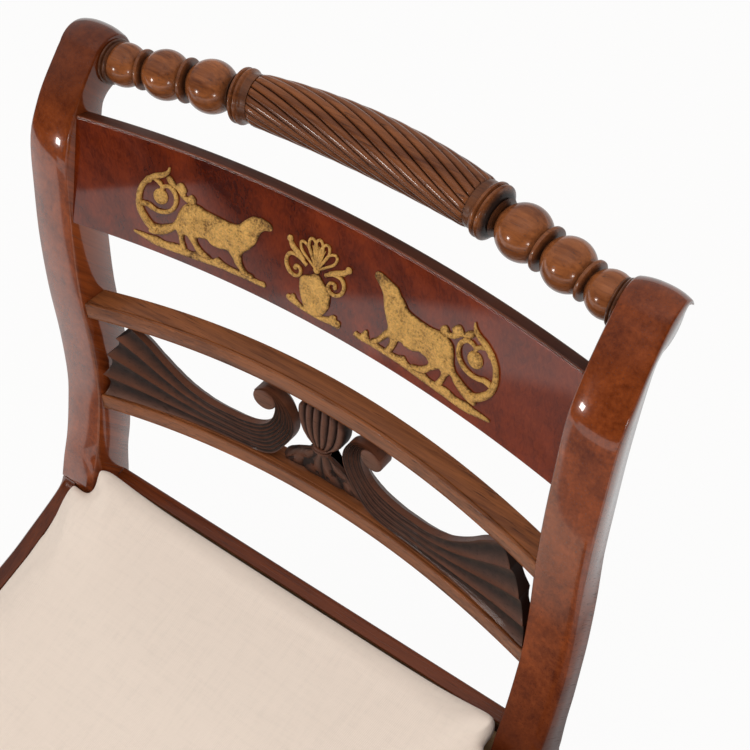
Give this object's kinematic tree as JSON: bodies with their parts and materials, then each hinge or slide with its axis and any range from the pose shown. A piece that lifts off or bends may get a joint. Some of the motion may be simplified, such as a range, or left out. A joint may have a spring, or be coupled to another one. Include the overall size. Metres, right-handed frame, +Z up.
{
  "type": "dining chair",
  "caption": "Sabre-legged wooden dining chair with a spiral-reeded top rail, brass-mounted tablet, carved scroll splat and a lift-out padded seat.",
  "frame": {"origin": "on the floor under the middle of the chair's box", "axes": "+Z up; the chair faces -Y, so its back is towards +Y; +X is to the right of someone who looks at its front"},
  "size_m": [0.486, 0.5971, 0.8166],
  "materials": {
    "polished_mahogany": "french polished mahogany, reddish brown, glossy",
    "turned_mahogany": "turned and reeded mahogany, polished, dark in the grooves",
    "flame_veneer": "flame-figured mahogany veneer, deep red-brown, glossy",
    "carved_mahogany": "carved mahogany, dark and nearly matt",
    "plain_beech": "unpolished beech",
    "gilt_brass": "cast and chased gilt brass, stippled",
    "jute_webbing": "woven jute webbing",
    "hessian": "coarse hessian",
    "black_lining": "thin black bottom cloth",
    "cream_cloth": "plain-woven cream linen over stuffing"
  },
  "bodies": {
    "chair_frame": {"stile_left": "polished_mahogany", "stile_right": "polished_mahogany", "side_rail_left": "polished_mahogany", "side_rail_right": "polished_mahogany", "front_leg_left": "polished_mahogany", "front_leg_right": "polished_mahogany", "front_seat_rail": "polished_mahogany", "back_seat_rail": "polished_mahogany", "corner_block_back_left": "plain_beech", "corner_block_back_right": "plain_beech", "corner_block_front_left": "plain_beech", "corner_block_front_right": "plain_beech", "top_rail_reeded_centre": "turned_mahogany", "top_rail_balls_left": "turned_mahogany", "top_rail_balls_right": "turned_mahogany", "tablet_rail": "polished_mahogany", "tablet_veneer": "flame_veneer", "brass_beast_left": "gilt_brass", "brass_beast_right": "gilt_brass", "brass_palmette": "gilt_brass", "splat_rail_upper": "polished_mahogany", "splat_rail_lower": "polished_mahogany", "carved_scroll_left": "carved_mahogany", "carved_scroll_right": "carved_mahogany", "carved_shell": "carved_mahogany"},
    "drop_in_seat": {"seat_frame_back": "plain_beech", "seat_frame_front": "plain_beech", "seat_frame_side_left": "plain_beech", "seat_frame_side_right": "plain_beech", "seat_webbing": "jute_webbing", "seat_hessian": "hessian", "seat_lining": "black_lining", "seat_cushion": "cream_cloth"}
  },
  "joints": [
    {"name": "seat_lift", "type": "slide", "parent": "chair_frame", "child": "drop_in_seat", "axis": [0, 0, 1], "range_m": [0, 0.1]}
  ]
}
